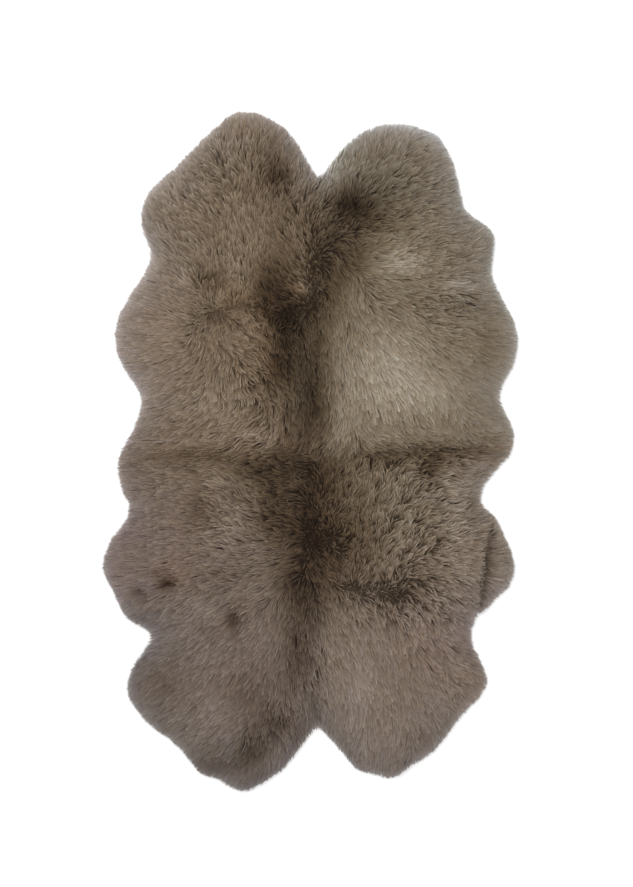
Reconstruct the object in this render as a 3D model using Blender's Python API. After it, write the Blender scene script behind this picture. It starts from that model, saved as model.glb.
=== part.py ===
"""A flat rug made of four sheepskins sewn edge to edge, wool side up.

Each pelt is one solid: a lumpy slab of wool on its skin, with pointed locks of wool fused to the
slab along the pelt's free edge. The pelts meet along two seams, where the wool sinks into a valley.
Frame: X runs across the rug, Y along it, Z up. The skin side lies flat on Z = 0.
"""

import math
from typing import NamedTuple

import bmesh
import bpy
from mathutils import Vector, geometry, noise

MM = 0.001

# Driving dimensions
PILE_HEIGHT = 50 * MM  # skin to the top of the wool, laid flat
RIM_HEIGHT = 19 * MM  # height of the wool where it turns down to the floor
ROLL_WIDTH = 62 * MM  # how far in from the rim the wool keeps rising
SEAM_GAP = 0.3 * MM
SEAM_DEPTH = 13 * MM
SEAM_WIDTH = 26 * MM
LUMP_HEIGHT = 7 * MM
LUMP_SIZE = 95 * MM
TUFT_HEIGHT = 4 * MM
TUFT_SIZE = 42 * MM

LOCK_PITCH = 20.5 * MM
LOCK_LENGTH = 12 * MM
LOCK_SPREAD = 0.4  # how much a lock's length varies, as a share of it
LOCK_SIDESTEP = 0.3  # how far its tip leans aside, as a share of its root's width
LOCK_VARIES_OVER = 31 * MM  # the distance along the rim over which locks come to differ
LOCK_WAIST_AT = 0.5  # where along the lock its middle section stands
LOCK_WAIST_WIDTH = 0.6  # the middle section's width, as a share of the root's width
LOCK_WAIST_HEIGHT = 0.55  # the middle section's height, as a share of the root's height
LOCK_TIP_HEIGHT = 3 * MM

TOP_PITCH = 20 * MM  # spacing of the points that carry the lumpy top
SHOULDER_INSET = 13 * MM  # the row of points that rounds the rim's shoulder
CLEARANCE = 9 * MM  # the least distance between a top point and the rim
LEAST_PITCH = 0.62  # the grid stays this share of its spacing away from the shoulder's points
CURVE_STEPS = 16  # steps between two landmarks, before even spacing
EASE_STEPS = 3  # rim points over which the inset turns from the seam's line to the rim's normal

WOOL_COLOUR = (0.155, 0.118, 0.088, 1.0)


class Landmark(NamedTuple):
    """A point that the pelt's cut edge passes through, in millimetres."""

    name: str
    x: float
    y: float


class Parting(NamedTuple):
    """A soft trough where the wool parts, along a line, in millimetres."""

    name: str
    x0: float
    y0: float
    x1: float
    y1: float
    width: float
    depth: float


# The seams, each from one end to the other. Both pass through the point where the four pelts meet.
CENTRE_SEAM_TOP = (
    Landmark("crossing", 16, -22),
    Landmark("upper back", 13, 330),
    Landmark("top notch", 16, 722),
)
CENTRE_SEAM_BOTTOM = (
    Landmark("crossing", 16, -22),
    Landmark("lower back", 17, -380),
    Landmark("bottom notch", 19, -720),
)
CROSS_SEAM_LEFT = (
    Landmark("crossing", 16, -22),
    Landmark("left flank", -220, -33),
    Landmark("left end", -512, -37),
)
CROSS_SEAM_RIGHT = (
    Landmark("crossing", 16, -22),
    Landmark("right flank", 300, -4),
    Landmark("right end", 539, 37),
)

# The free edges, each from the centre seam's end round to the cross seam's end.
UPPER_LEFT_EDGE = (
    Landmark("top notch", 16, 722),
    Landmark("neck inside", -17, 786),
    Landmark("neck shoulder", -66, 853),
    Landmark("crown right", -145, 895),
    Landmark("crown left", -205, 897),
    Landmark("crown corner", -238, 868),
    Landmark("cheek", -290, 823),
    Landmark("neck slope", -352, 757),
    Landmark("foreleg top", -425, 692),
    Landmark("foreleg tip", -448, 642),
    Landmark("foreleg foot", -443, 580),
    Landmark("upper bay", -420, 532),
    Landmark("flank start", -437, 475),
    Landmark("flank rise", -482, 405),
    Landmark("flank shoulder", -507, 358),
    Landmark("flank tip", -518, 305),
    Landmark("flank fall", -502, 232),
    Landmark("flank end", -466, 182),
    Landmark("lower bay", -447, 132),
    Landmark("seam lobe rise", -470, 52),
    Landmark("seam lobe", -500, 0),
    Landmark("left end", -512, -37),
)
UPPER_RIGHT_EDGE = (
    Landmark("top notch", 16, 722),
    Landmark("neck foot", 34, 733),
    Landmark("neck inside", 62, 774),
    Landmark("neck shoulder", 112, 829),
    Landmark("crown left", 165, 857),
    Landmark("crown", 232, 869),
    Landmark("crown right", 290, 858),
    Landmark("cheek", 340, 830),
    Landmark("neck corner", 368, 787),
    Landmark("neck outside", 391, 720),
    Landmark("neck fall", 398, 672),
    Landmark("upper bay", 412, 633),
    Landmark("foreleg top", 455, 605),
    Landmark("foreleg corner", 484, 575),
    Landmark("foreleg tip", 489, 540),
    Landmark("middle bay", 477, 478),
    Landmark("flank rise", 510, 400),
    Landmark("flank shoulder", 541, 340),
    Landmark("flank tip", 548, 272),
    Landmark("flank fall", 534, 220),
    Landmark("flank end", 507, 177),
    Landmark("lower bay", 498, 143),
    Landmark("seam lobe rise", 514, 102),
    Landmark("seam lobe", 533, 70),
    Landmark("right end", 539, 37),
)
LOWER_LEFT_EDGE = (
    Landmark("bottom notch", 19, -720),
    Landmark("tail inside", -2, -746),
    Landmark("rump inside", -42, -804),
    Landmark("rump", -85, -852),
    Landmark("tail rise", -135, -882),
    Landmark("tail tip", -178, -900),
    Landmark("tail fall", -207, -890),
    Landmark("tail root", -247, -864),
    Landmark("rump corner", -288, -855),
    Landmark("rump outside", -323, -813),
    Landmark("haunch", -365, -765),
    Landmark("hind leg foot", -430, -720),
    Landmark("hind leg corner", -466, -678),
    Landmark("hind leg tip", -488, -632),
    Landmark("hind leg top", -476, -583),
    Landmark("hind leg rise", -452, -540),
    Landmark("lower bay", -416, -496),
    Landmark("bay mouth", -432, -470),
    Landmark("flank foot", -479, -449),
    Landmark("flank slope", -521, -376),
    Landmark("flank tip", -549, -303),
    Landmark("flank shoulder", -535, -246),
    Landmark("flank rise", -500, -198),
    Landmark("upper bay", -476, -160),
    Landmark("seam lobe rise", -501, -95),
    Landmark("left end", -512, -37),
)
LOWER_RIGHT_EDGE = (
    Landmark("bottom notch", 19, -720),
    Landmark("rump inside", 45, -752),
    Landmark("rump fall", 85, -798),
    Landmark("rump corner", 120, -838),
    Landmark("tail left", 190, -860),
    Landmark("tail right", 228, -862),
    Landmark("tail rise", 268, -832),
    Landmark("haunch foot", 325, -795),
    Landmark("haunch", 370, -736),
    Landmark("hind leg foot", 410, -688),
    Landmark("hind leg corner", 452, -645),
    Landmark("hind leg tip", 471, -593),
    Landmark("hind leg top", 446, -548),
    Landmark("lower bay", 427, -507),
    Landmark("bay slope", 429, -465),
    Landmark("bay mouth", 439, -433),
    Landmark("flap foot", 460, -427),
    Landmark("flap slope", 490, -391),
    Landmark("flap corner", 523, -358),
    Landmark("flap tip", 542, -316),
    Landmark("flap shoulder", 528, -256),
    Landmark("flap rise", 507, -209),
    Landmark("flap top", 488, -168),
    Landmark("upper bay corner", 460, -158),
    Landmark("upper bay", 449, -120),
    Landmark("seam lobe foot", 464, -80),
    Landmark("seam lobe rise", 500, -40),
    Landmark("seam lobe", 532, 0),
    Landmark("right end", 539, 37),
)

PARTINGS = (
    Parting("right flank crease", 330, 385, 485, 368, 17, 10),
    Parting("right neck hollow", 72, 598, 118, 690, 34, 9),
    Parting("left shoulder whorl", -292, 468, -286, 322, 22, 8),
    Parting("left back hollow", -118, 470, -62, 300, 30, 9),
    Parting("left neck hollow", -95, 735, -70, 690, 32, 7),
    Parting("right flap fold", 452, -188, 453, -420, 18, 13),
    Parting("right saddle ridge", 85, -398, 305, -412, 22, 9),
    Parting("left flank crease", -448, -372, -372, -336, 22, 9),
    Parting("left haunch slit", -212, -442, -178, -434, 17, 10),
    Parting("tail slit", -44, -560, -20, -622, 15, 11),
    Parting("left tail hollow", -165, -752, -128, -812, 22, 7),
)


class Pelt(NamedTuple):
    """One pelt: its node's name, its free edge, and the seams that it shares."""

    node: str
    edge: tuple
    centre_seam: tuple
    cross_seam: tuple


PELTS = (
    Pelt("pelt_upper_left", UPPER_LEFT_EDGE, CENTRE_SEAM_TOP, CROSS_SEAM_LEFT),
    Pelt("pelt_upper_right", UPPER_RIGHT_EDGE, CENTRE_SEAM_TOP, CROSS_SEAM_RIGHT),
    Pelt("pelt_lower_left", LOWER_LEFT_EDGE, CENTRE_SEAM_BOTTOM, CROSS_SEAM_LEFT),
    Pelt("pelt_lower_right", LOWER_RIGHT_EDGE, CENTRE_SEAM_BOTTOM, CROSS_SEAM_RIGHT),
)


def smooth_line(landmarks):
    """A fine polyline on the centripetal Catmull-Rom curve through the landmarks, in metres."""
    marks = [Vector((mark.x, mark.y)) * MM for mark in landmarks]
    marks = [2 * marks[0] - marks[1], *marks, 2 * marks[-1] - marks[-2]]
    line = []
    for p0, p1, p2, p3 in zip(marks, marks[1:], marks[2:], marks[3:]):
        t1 = math.sqrt((p1 - p0).length)
        t2 = t1 + math.sqrt((p2 - p1).length)
        t3 = t2 + math.sqrt((p3 - p2).length)
        for step in range(CURVE_STEPS):
            t = t1 + (t2 - t1) * step / CURVE_STEPS
            a1 = p0.lerp(p1, t / t1)
            a2 = p1.lerp(p2, (t - t1) / (t2 - t1))
            a3 = p2.lerp(p3, (t - t2) / (t3 - t2))
            b1 = a1.lerp(a2, t / t2)
            b2 = a2.lerp(a3, (t - t1) / (t3 - t1))
            line.append(b1.lerp(b2, (t - t1) / (t2 - t1)))
    line.append(marks[-2])
    return line


def evenly_spaced(line, pitch, start=0.0):
    """Points about one pitch apart along a polyline, from a distance along it to its end."""
    along = [0.0]
    for a, b in zip(line, line[1:]):
        along.append(along[-1] + (b - a).length)
    count = max(1, round((along[-1] - start) / pitch))
    points = []
    piece = 0
    for index in range(count + 1):
        at = start + (along[-1] - start) * index / count
        while piece < len(line) - 2 and along[piece + 1] < at:
            piece += 1
        share = (at - along[piece]) / (along[piece + 1] - along[piece])
        points.append(line[piece].lerp(line[piece + 1], share))
    return points


def across(points, index):
    """The unit vector to the left of a polyline's direction at one of its points."""
    ahead = points[min(index + 1, len(points) - 1)]
    behind = points[max(index - 1, 0)]
    way = (ahead - behind).normalized()
    return Vector((-way.y, way.x))


def shifted(points, distance):
    """A polyline moved to its left."""
    return [p + across(points, i) * distance for i, p in enumerate(points)]


def inset_edge(edge, inward, distance, start_way, end_way):
    """The edge moved into the pelt. Its ends follow the seams, and it eases into its own normal."""
    last = len(edge) - 1
    moved = []
    for index, point in enumerate(edge):
        way = across(edge, index) * inward
        start_share = max(0.0, 1 - index / EASE_STEPS)
        end_share = max(0.0, 1 - (last - index) / EASE_STEPS)
        way = way.lerp(start_way, start_share).lerp(end_way, end_share).normalized()
        moved.append(point + way * distance)
    return moved


def distance_to(point, line):
    """The distance from a point to a polyline."""
    best = math.inf
    for a, b in zip(line, line[1:]):
        side = b - a
        share = (point - a).dot(side) / max(side.length_squared, 1e-12)
        best = min(best, (point - a.lerp(b, min(1.0, max(0.0, share)))).length)
    return best


def trough(distance, width, depth):
    """The depth of a soft trough at a distance from its line."""
    return depth * math.exp(-((distance / width) ** 2))


def wool_height(point, rim, seams):
    """The height of the wool over a point, from the rim's roll, the seams, partings and lumps."""
    share = min(1.0, distance_to(point, rim) / ROLL_WIDTH)
    roll = math.sqrt(max(0.0, 1 - (1 - share) ** 2))
    relief = LUMP_HEIGHT * noise.noise((point / LUMP_SIZE).to_3d())
    relief += TUFT_HEIGHT * noise.noise((point / TUFT_SIZE).to_3d())
    relief -= trough(min(distance_to(point, seam) for seam in seams), SEAM_WIDTH, SEAM_DEPTH)
    for part in PARTINGS:
        line = (Vector((part.x0, part.y0)) * MM, Vector((part.x1, part.y1)) * MM)
        relief -= trough(distance_to(point, line), part.width * MM, part.depth * MM)
    return RIM_HEIGHT + (PILE_HEIGHT - RIM_HEIGHT) * roll + relief * roll


def is_inside(point, outline):
    """Whether a point lies inside a closed outline, by counting the crossings of a ray."""
    inside = False
    for a, b in zip(outline, outline[1:] + outline[:1]):
        if (a.y > point.y) != (b.y > point.y):
            inside ^= point.x < a.x + (b.x - a.x) * (point.y - a.y) / (b.y - a.y)
    return inside


def top_points(outline, shoulder):
    """The points inside an outline that carry the lumpy top: the shoulder's row, then a staggered grid."""
    closed = outline + outline[:1]
    kept = [p for p in shoulder if is_inside(p, outline) and distance_to(p, closed) > CLEARANCE]
    low = Vector((min(p.x for p in outline), min(p.y for p in outline)))
    high = Vector((max(p.x for p in outline), max(p.y for p in outline)))
    row_pitch = TOP_PITCH * math.sqrt(3) / 2
    grid = []
    for row in range(int((high.y - low.y) / row_pitch) + 1):
        for column in range(int((high.x - low.x) / TOP_PITCH) + 1):
            offset = TOP_PITCH / 2 * (row % 2)
            point = low + Vector((column * TOP_PITCH + offset, row * row_pitch))
            if is_inside(point, outline) and distance_to(point, closed) > CLEARANCE:
                grid.append(point)
    apart = LEAST_PITCH * TOP_PITCH
    return kept + [p for p in grid if all((p - q).length > apart for q in kept)]


def fill_top(mesh, border, inner, height):
    """Adds the lumpy top: the triangles between the border's vertices and the inner points."""
    count = len(border)
    flat = [vertex.co.to_2d() for vertex in border] + inner
    ring = [(i, (i + 1) % count) for i in range(count)]
    inside_only = 1
    points, _, faces, sources, _, _ = geometry.delaunay_2d_cdt(flat, ring, [], inside_only, 1e-6)
    vertices = []
    for point, source in zip(points, sources):
        on_border = [i for i in source if i < count]
        if on_border:
            vertices.append(border[on_border[0]])
        else:
            vertices.append(mesh.verts.new((point.x, point.y, height(point))))
    for face in faces:
        mesh.faces.new([vertices[i] for i in face])


def draw_lock(mesh, root, tip_at):
    """Draws one four-sided lock of wool out of a face of the rim, to a tip near the floor."""
    centre = root.calc_center_median()
    end = bmesh.ops.extrude_discrete_faces(mesh, faces=[root])["faces"][0]
    waist = centre.xy.lerp(tip_at, LOCK_WAIST_AT)
    for vertex in end.verts:
        place = waist + (vertex.co.xy - centre.xy) * LOCK_WAIST_WIDTH
        vertex.co = (place.x, place.y, vertex.co.z * LOCK_WAIST_HEIGHT)
    tip = bmesh.ops.poke(mesh, faces=[end])["verts"][0]
    tip.co = (tip_at.x, tip_at.y, LOCK_TIP_HEIGHT)


def lock_tip(root_a, root_b, edge_a, edge_b):
    """Where a lock's tip lies: on the pelt's edge, a little longer or shorter and to one side."""
    root = (root_a + root_b) / 2
    reach = (edge_a + edge_b) / 2 - root
    place = (root / LOCK_VARIES_OVER).to_3d()
    longer = 1 + LOCK_SPREAD * noise.noise(place)
    aside = LOCK_SIDESTEP * noise.noise(place + Vector((0, 0, 1)))
    return root + reach * longer + (root_b - root_a) * aside


def build_pelt(pelt):
    """The mesh of one pelt: its lumpy top, flat underside, seam walls, and the locks on its rim."""
    centre = smooth_line(pelt.centre_seam)
    cross = smooth_line(pelt.cross_seam)
    edge = evenly_spaced(smooth_line(pelt.edge), LOCK_PITCH)
    body = Vector((sum(p.x for p in edge), sum(p.y for p in edge))) / len(edge)
    inward = 1 if across(edge, 0).dot(body - edge[0]) > 0 else -1
    centre_way = (centre[-2] - centre[-1]).normalized()
    cross_way = (cross[-2] - cross[-1]).normalized()

    centre_half = SEAM_GAP / 2
    cross_half = SEAM_GAP / 2
    if across(centre, 1).dot(body - centre[0]) < 0:
        centre_half = -centre_half
    if across(cross, 1).dot(body - cross[0]) < 0:
        cross_half = -cross_half
    centre_wall = evenly_spaced(shifted(centre, centre_half)[::-1], TOP_PITCH, LOCK_LENGTH)
    cross_wall = evenly_spaced(shifted(cross, cross_half)[::-1], TOP_PITCH, LOCK_LENGTH)

    rim = inset_edge(edge, inward, LOCK_LENGTH, centre_way, cross_way)
    rim[0] = centre_wall[0]
    rim[-1] = cross_wall[0]
    shoulder = inset_edge(rim, inward, SHOULDER_INSET, centre_way, cross_way)
    # The walls meet at the crossing, each half a gap off its seam.
    corner = centre[0] + across(centre, 0) * centre_half + across(cross, 0) * cross_half
    outline = rim + cross_wall[1:-1] + [corner] + centre_wall[-2:0:-1]

    def height(point):
        return wool_height(point, rim, (centre, cross))

    mesh = bmesh.new()
    lower = [mesh.verts.new((p.x, p.y, 0.0)) for p in outline]
    upper = [mesh.verts.new((p.x, p.y, height(p))) for p in outline]
    fill_top(mesh, upper, top_points(outline, shoulder), height)
    mesh.faces.new(lower)
    walls = []
    for index in range(len(outline)):
        after = (index + 1) % len(outline)
        walls.append(mesh.faces.new((lower[index], lower[after], upper[after], upper[index])))
    for index, root in enumerate(walls[: len(rim) - 1]):
        draw_lock(mesh, root, lock_tip(*rim[index : index + 2], *edge[index : index + 2]))
    bmesh.ops.recalc_face_normals(mesh, faces=mesh.faces)
    bmesh.ops.triangulate(mesh, faces=[f for f in mesh.faces if len(f.verts) > 4])
    data = bpy.data.meshes.new(pelt.node)
    mesh.to_mesh(data)
    mesh.free()
    return data


def wool_material(name):
    """Taupe wool, matt."""
    material = bpy.data.materials.new(name)
    material.use_nodes = True
    shader = material.node_tree.nodes["Principled BSDF"]
    shader.inputs["Base Color"].default_value = WOOL_COLOUR
    shader.inputs["Roughness"].default_value = 0.95
    shader.inputs["Metallic"].default_value = 0.0
    return material


def main():
    for thing in list(bpy.data.objects):
        bpy.data.objects.remove(thing)
    rug = bpy.data.collections.new("sheepskin_rug")
    bpy.context.scene.collection.children.link(rug)
    for pelt in PELTS:
        data = build_pelt(pelt)
        data.materials.append(wool_material(f"{pelt.node}_wool"))
        data.shade_smooth()
        data.set_sharp_from_angle(angle=math.radians(50))
        rug.objects.link(bpy.data.objects.new(pelt.node, data))


main()
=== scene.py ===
"""A flat rug of four long-wool sheepskins, sewn edge to edge and laid on the floor, wool side up.

Each pelt is a suede skin with a dense fleece on it, and thousands of tapered locks of wool that lie
over the fleece. The locks fan out to the free edges, part along the seams, and are darkest there,
where their dark roots show and painted shade lies on them.
Frame: X runs across the rug, Y along it, Z up. The skin side lies flat on Z = 0.
"""

import logging
import math
from dataclasses import dataclass, field
from enum import Enum
from typing import Callable, NamedTuple

import bpy
import numpy as np
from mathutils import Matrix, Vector
from mathutils.bvhtree import BVHTree

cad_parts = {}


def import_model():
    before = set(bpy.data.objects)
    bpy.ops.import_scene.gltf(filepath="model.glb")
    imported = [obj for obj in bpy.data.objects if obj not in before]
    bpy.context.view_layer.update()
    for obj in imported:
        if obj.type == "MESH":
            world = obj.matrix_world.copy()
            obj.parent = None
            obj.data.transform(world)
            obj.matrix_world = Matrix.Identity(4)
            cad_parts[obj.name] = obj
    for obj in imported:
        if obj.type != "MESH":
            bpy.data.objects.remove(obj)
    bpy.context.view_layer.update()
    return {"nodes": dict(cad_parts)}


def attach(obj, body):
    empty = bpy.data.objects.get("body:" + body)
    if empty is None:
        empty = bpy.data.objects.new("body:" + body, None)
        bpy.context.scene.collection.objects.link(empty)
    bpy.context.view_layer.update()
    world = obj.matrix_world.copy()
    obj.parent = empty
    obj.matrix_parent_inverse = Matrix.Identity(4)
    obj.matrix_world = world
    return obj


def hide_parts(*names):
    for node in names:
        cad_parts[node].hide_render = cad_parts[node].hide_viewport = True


MM = 0.001
LOG = logging.getLogger("sheepskin_rug")

# The CAD's locks end at this height, which tells their tips from the rest of a pelt.
LOCK_TIP_HEIGHT = 3 * MM
LOCK_TIP_BAND = 0.2 * MM
# The CAD's own rim lies this far inside the line through its locks' tips, and this high.
CAD_RIM_INSET = 12 * MM
CAD_RIM_HEIGHT = 12 * MM

# The wool of neighbouring pelts turns the same way this near their seams.
CENTRE_BLEND = 34 * MM
CROSS_BLEND = 14 * MM

# How light the wool is against its mean, as seen: over most of the rug, at the least, and at the rim.
BASE_TONE = 1.05
LEAST_TONE = 0.42
MOST_TONE = 1.72
# Painted light on the rim: strongest on the upper pelts, with some on the lower left, the key light's side, and
# fading inwards over a reach.
RIM_PAINTED_LIGHT_UPPER = 0.3
RIM_PAINTED_LIGHT_LOWER = 0.07
RIM_PAINTED_LIGHT_LEFT = 0.12
RIM_PAINTED_LIGHT_REACH = 42 * MM
# Painted highlight: the outermost tips are painted lighter still, where they catch more light.
RIM_EDGE_PAINTED_LIGHT = 0.225
RIM_EDGE_PAINTED_LIGHT_REACH = 25 * MM
# The zones' changes as the light in this studio needs them.
ZONE_STRENGTH = 1.1
# Tones are judged as seen and shaders take them as light; dark wool is also warmer than light wool.
SHADE_POWERS = (1.9, 2.2, 2.62)
# The wool's hue leans to grey at the rim and the foot of the rug, and to brown at its heart:
# red, green and blue.
RIM_TINT = (0.98, 1.0, 1.085)
HEART_TINT = (1.03, 1.0, 0.955)
FOOT_TINT = (0.965, 1.0, 1.09)
TINT_REACH = 110 * MM
# How tousled the wool is, from 0, combed flat, to 1: over most of the rug, and at its foot and rim.
LIVELY = 0.5
LIVELY_AT_FOOT = 0.28
LIVELY_AT_RIM = 0.6
LIVELY_RIM_REACH = 60 * MM
# The point along a lock, from root to tip, that has the mean colour of all that shows of it.
MEAN_SHOWN = 0.66
FOOT_START = -200 * MM
FOOT_FULL = -430 * MM


def linear(hex_colour: str) -> tuple[float, float, float, float]:
    """Converts an sRGB colour to the linear values that shaders take.

    Args:
        hex_colour: the colour, such as "8a7f70".

    Returns:
        Red, green, blue and alpha.
    """
    values = [int(hex_colour[i : i + 2], 16) / 255 for i in (0, 2, 4)]
    red, green, blue = (v / 12.92 if v <= 0.04045 else ((v + 0.055) / 1.055) ** 2.4 for v in values)
    return red, green, blue, 1.0


class Stroke(NamedTuple):
    """Which way the wool lies at one place: millimetres, and degrees from +X towards +Y."""

    name: str
    x: float
    y: float
    degrees: float


class Zone(NamedTuple):
    """A soft patch in millimetres, and how much lighter (by its own tone, painted light or painted shade) or
    livelier the wool is there, as a share.
    """

    name: str
    x: float
    y: float
    reach_x: float
    reach_y: float
    change: float


class Hue(NamedTuple):
    """A soft patch, in millimetres, where the wool is this share redder and bluer against its green."""

    name: str
    x: float
    y: float
    reach_x: float
    reach_y: float
    red: float
    blue: float


class Whorl(NamedTuple):
    """A place where the wool turns every way, in millimetres, by up to so many degrees."""

    name: str
    x: float
    y: float
    reach: float
    turn: float


class Fold(NamedTuple):
    """A line through points, in millimetres, that the wool to its left ends at."""

    name: str
    points: tuple[tuple[float, float], ...]


class SeamPoint(NamedTuple):
    """A point on a seam, in millimetres."""

    name: str
    x: float
    y: float


CENTRE_SEAM = (
    SeamPoint("bottom notch", 19, -720),
    SeamPoint("lower back", 17, -380),
    SeamPoint("crossing", 16, -22),
    SeamPoint("upper back", 13, 330),
    SeamPoint("top notch", 16, 722),
)
CROSS_SEAM = (
    SeamPoint("left end", -512, -37),
    SeamPoint("left flank", -220, -33),
    SeamPoint("crossing", 16, -22),
    SeamPoint("right flank", 300, -4),
    SeamPoint("right end", 539, 37),
)

# The right flap lies in under the body's wool, and the wool of the right foreleg parts over the belly's.
FOLDS = (
    Fold("flap", ((438, -430), (447, -365), (452, -312), (458, -251), (476, -190))),
    Fold("crease", ((346, 375), (373, 378), (394, 388), (424, 393))),
    Fold("crease, fork", ((408, 366), (431, 348))),
    Fold("crease, outer", ((455, 361), (476, 363), (496, 366))),
    Fold("crease, inner", ((262, 429), (275, 412), (310, 394))),
)

UPPER_LEFT_LAY = (
    Stroke("crown", -190, 830, 90),
    Stroke("neck inside", -70, 800, 72),
    Stroke("neck inside root", -60, 700, 76),
    Stroke("neck slope", -330, 740, 130),
    Stroke("neck cheek", -265, 690, 146),
    Stroke("neck middle", -150, 640, 89),
    Stroke("foreleg top", -400, 650, 125),
    Stroke("foreleg root", -330, 570, 128),
    Stroke("foreleg under", -385, 520, 143),
    Stroke("shoulder", -180, 520, 94),
    Stroke("back edge", -50, 570, 116),
    Stroke("back", -60, 430, 135),
    Stroke("upper flank", -430, 430, 164),
    Stroke("upper flank root", -330, 390, 148),
    Stroke("whorl top", -260, 440, 80),
    Stroke("flank", -470, 320, 179),
    Stroke("flank root", -340, 300, 182),
    Stroke("whorl right", -170, 290, 325),
    Stroke("whorl under", -248, 292, 282),
    Stroke("whorl under left", -290, 262, 253),
    Stroke("lower flank", -450, 170, 182),
    Stroke("lower flank root", -330, 200, 205),
    Stroke("belly", -230, 170, 268),
    Stroke("loin", -150, 190, 310),
    Stroke("loin edge", -70, 170, 296),
    Stroke("seam side", -5, 130, 271),
    Stroke("seam side upper", -10, 300, 285),
    Stroke("seam lobe", -440, 60, 189),
    Stroke("seam lobe root", -290, 60, 203),
    Stroke("seam corner", -170, 70, 215),
    Stroke("seam", -300, 0, 186),
    Stroke("crossing", -70, 45, 270),
    Stroke("seam edge", -80, -8, 180),
    Stroke("flank whorl", -320, 250, 204),
)
UPPER_RIGHT_LAY = (
    Stroke("neck inside", 60, 760, 84),
    Stroke("neck shoulder", 152, 826, 92),
    Stroke("crown", 200, 826, 72),
    Stroke("crown right", 335, 795, 28),
    Stroke("neck middle", 200, 740, 44),
    Stroke("neck right", 340, 730, 22),
    Stroke("neck fall", 350, 650, 12),
    Stroke("neck root", 240, 650, 22),
    Stroke("whorl top", 90, 680, 78),
    Stroke("whorl right", 170, 590, 12),
    Stroke("whorl left", 45, 600, 62),
    Stroke("foreleg tip", 460, 560, 32),
    Stroke("foreleg", 360, 560, 14),
    Stroke("foreleg root", 240, 540, 17),
    Stroke("shoulder", 170, 500, -4),
    Stroke("back upper", 80, 490, -42),
    Stroke("back", 110, 420, -78),
    Stroke("shoulder patch", 210, 430, -14),
    Stroke("middle bay", 430, 470, 10),
    Stroke("flank crease", 420, 390, -1),
    Stroke("flank crease root", 290, 390, -10),
    Stroke("back middle", 70, 300, -93),
    Stroke("rib", 180, 330, -58),
    Stroke("rib right", 270, 310, -34),
    Stroke("flank", 400, 320, -8),
    Stroke("flank tip", 490, 290, -6),
    Stroke("flank fall", 450, 200, -28),
    Stroke("belly", 330, 190, -46),
    Stroke("belly root", 210, 190, -60),
    Stroke("back lower", 60, 130, -91),
    Stroke("loin", 150, 130, -76),
    Stroke("loin right", 350, 111, -76),
    Stroke("lower bay", 450, 120, -28),
    Stroke("seam lobe", 490, 60, -6),
    Stroke("seam", 330, 25, -4),
    Stroke("seam root", 200, 32, -16),
    Stroke("crossing", 70, 25, -108),
    Stroke("rib low", 275, 230, -52),
    Stroke("loin low right", 365, 92, -79),
    Stroke("seam rise", 196, 84, -80),
)
LOWER_LEFT_LAY = (
    Stroke("seam lobe", -470, -40, 184),
    Stroke("seam", -300, -40, 183),
    Stroke("seam root", -130, -50, 172),
    Stroke("crossing", -40, -70, 165),
    Stroke("upper bay", -430, -140, 184),
    Stroke("upper flank root", -290, -130, 172),
    Stroke("saddle", -180, -115, 145),
    Stroke("saddle edge", -90, -140, 158),
    Stroke("flank rise", -430, -220, 190),
    Stroke("flank middle", -300, -220, 184),
    Stroke("rib", -180, -220, 165),
    Stroke("flank tip", -510, -300, 184),
    Stroke("flank", -400, -300, 190),
    Stroke("flank root", -230, -310, 174),
    Stroke("flank fall", -430, -400, 207),
    Stroke("belly", -300, -390, 212),
    Stroke("belly root", -160, -380, 202),
    Stroke("back", -50, -420, 262),
    Stroke("back left", -110, -440, 246),
    Stroke("lower bay", -390, -500, 197),
    Stroke("haunch", -250, -500, 224),
    Stroke("haunch root", -158, -490, 228),
    Stroke("seam side", -10, -540, 281),
    Stroke("hind leg", -440, -590, 218),
    Stroke("hind leg root", -320, -580, 222),
    Stroke("thigh", -210, -610, 238),
    Stroke("rump", -100, -640, 264),
    Stroke("rump edge", -20, -660, 281),
    Stroke("hind leg foot", -390, -690, 216),
    Stroke("rump left", -260, -720, 221),
    Stroke("tail root", -150, -760, 262),
    Stroke("rump inside", -50, -760, 276),
    Stroke("tail", -190, -850, 236),
    Stroke("tail left", -201, -782, 229),
    Stroke("tail right", -110, -840, 262),
    Stroke("rump left root", -235, -723, 206),
    Stroke("rump middle", -200, -723, 226),
    Stroke("rib low edge", -82, -266, 198),
)
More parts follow.
